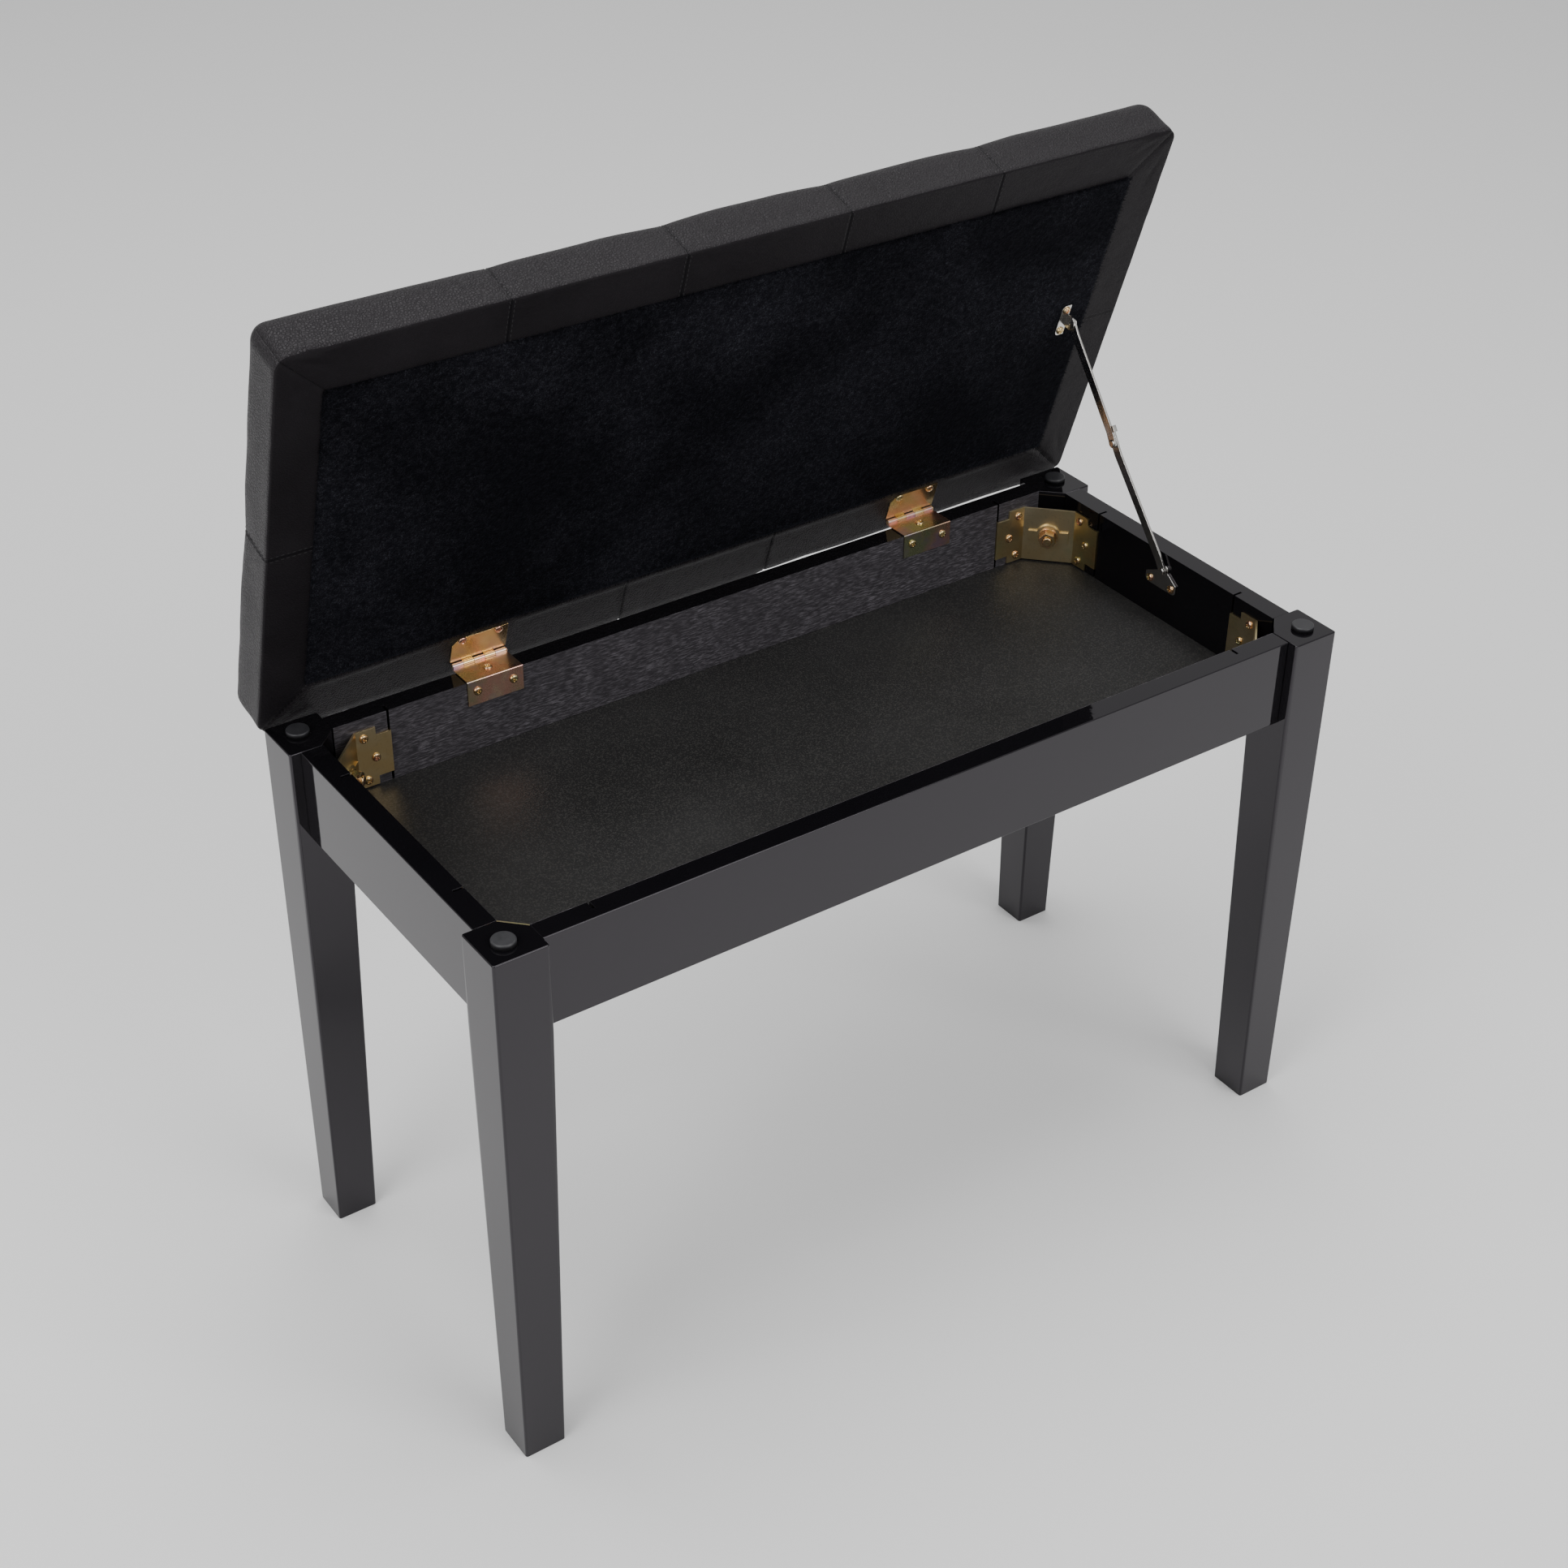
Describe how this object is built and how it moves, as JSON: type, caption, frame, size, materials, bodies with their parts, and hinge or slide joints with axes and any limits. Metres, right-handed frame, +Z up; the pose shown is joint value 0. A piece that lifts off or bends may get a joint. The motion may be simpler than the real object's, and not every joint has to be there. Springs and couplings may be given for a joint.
{
  "type": "piano bench",
  "caption": "Piano bench with a padded leather lid that opens over a storage tray, four square tapered legs, steel corner brackets, hinges and a folding lid stay.",
  "frame": {"origin": "on the floor, under the middle of the bounding box of the bench with its lid open", "axes": "+X along the bench to the right, +Y towards the hinge side at the back, +Z up"},
  "size_m": [0.762, 0.3788, 0.8069],
  "materials": {
    "black_lacquer": "high-gloss black polyester lacquer over wood",
    "tray_board": "matte dark stained fibreboard",
    "yellow_zinc": "yellow passivated zinc on steel, slightly iridescent",
    "bumper_rubber": "black moulded rubber",
    "seat_leather": "black leather with a fine pebble grain, quilted and stitched",
    "lid_plywood": "raw plywood",
    "foam_pad": "open-cell upholstery foam",
    "velvet": "black short-pile velvet",
    "nickel": "nickel plated steel"
  },
  "bodies": {
    "bench_frame": {"leg_front_left": "black_lacquer", "leg_front_right": "black_lacquer", "leg_rear_right": "black_lacquer", "leg_rear_left": "black_lacquer", "rail_front": "black_lacquer", "rail_rear": "black_lacquer", "rail_left": "black_lacquer", "rail_right": "black_lacquer", "tray_floor": "tray_board", "corner_bracket_front_left": "yellow_zinc", "corner_bracket_front_right": "yellow_zinc", "corner_bracket_rear_right": "yellow_zinc", "corner_bracket_rear_left": "yellow_zinc", "corner_bracket_screws": "yellow_zinc", "hanger_bolts": "yellow_zinc", "hanger_washers": "yellow_zinc", "hanger_nuts": "yellow_zinc", "hinge_rail_leaf_left": "yellow_zinc", "hinge_rail_leaf_right": "yellow_zinc", "hinge_pin_left": "yellow_zinc", "hinge_pin_right": "yellow_zinc", "hinge_rail_screws": "yellow_zinc", "lid_bumpers": "bumper_rubber", "stay_rail_bracket": "nickel", "stay_rail_rivet": "nickel", "stay_rail_screws": "nickel"},
    "lid": {"seat_cover": "seat_leather", "lid_board": "lid_plywood", "seat_foam": "foam_pad", "lid_lining": "velvet", "hinge_lid_leaf_left": "yellow_zinc", "hinge_lid_leaf_right": "yellow_zinc", "hinge_lid_screws": "yellow_zinc", "stay_lid_bracket": "nickel", "stay_lid_rivet": "nickel", "stay_lid_screws": "nickel"},
    "stay_lower": {"stay_lower_arm": "nickel", "stay_elbow_rivet_lower": "nickel"},
    "stay_upper": {"stay_upper_arm": "nickel", "stay_elbow_rivet_upper": "nickel"}
  },
  "joints": [
    {"name": "lid_hinge", "type": "hinge", "parent": "bench_frame", "child": "lid", "pos_m": [0, 0.14709, 0.4639], "axis": [1, 0, 0], "range_deg": [0, 72.4]},
    {"name": "stay_lower_pivot", "type": "hinge", "parent": "bench_frame", "child": "stay_lower", "pos_m": [0.34725, -0.02201, 0.4474], "axis": [1, 0, 0], "range_deg": [0, 116.63]},
    {"name": "stay_upper_pivot", "type": "hinge", "parent": "lid", "child": "stay_upper", "pos_m": [0.3262, 0.08822, 0.63197], "axis": [1, 0, 0], "range_deg": [-133.09, 0]}
  ],
  "couplings": [
    {"joint": "stay_lower_pivot", "follows": "lid_hinge", "ratio": 1.6108},
    {"joint": "stay_upper_pivot", "follows": "lid_hinge", "ratio": -1.8381}
  ]
}
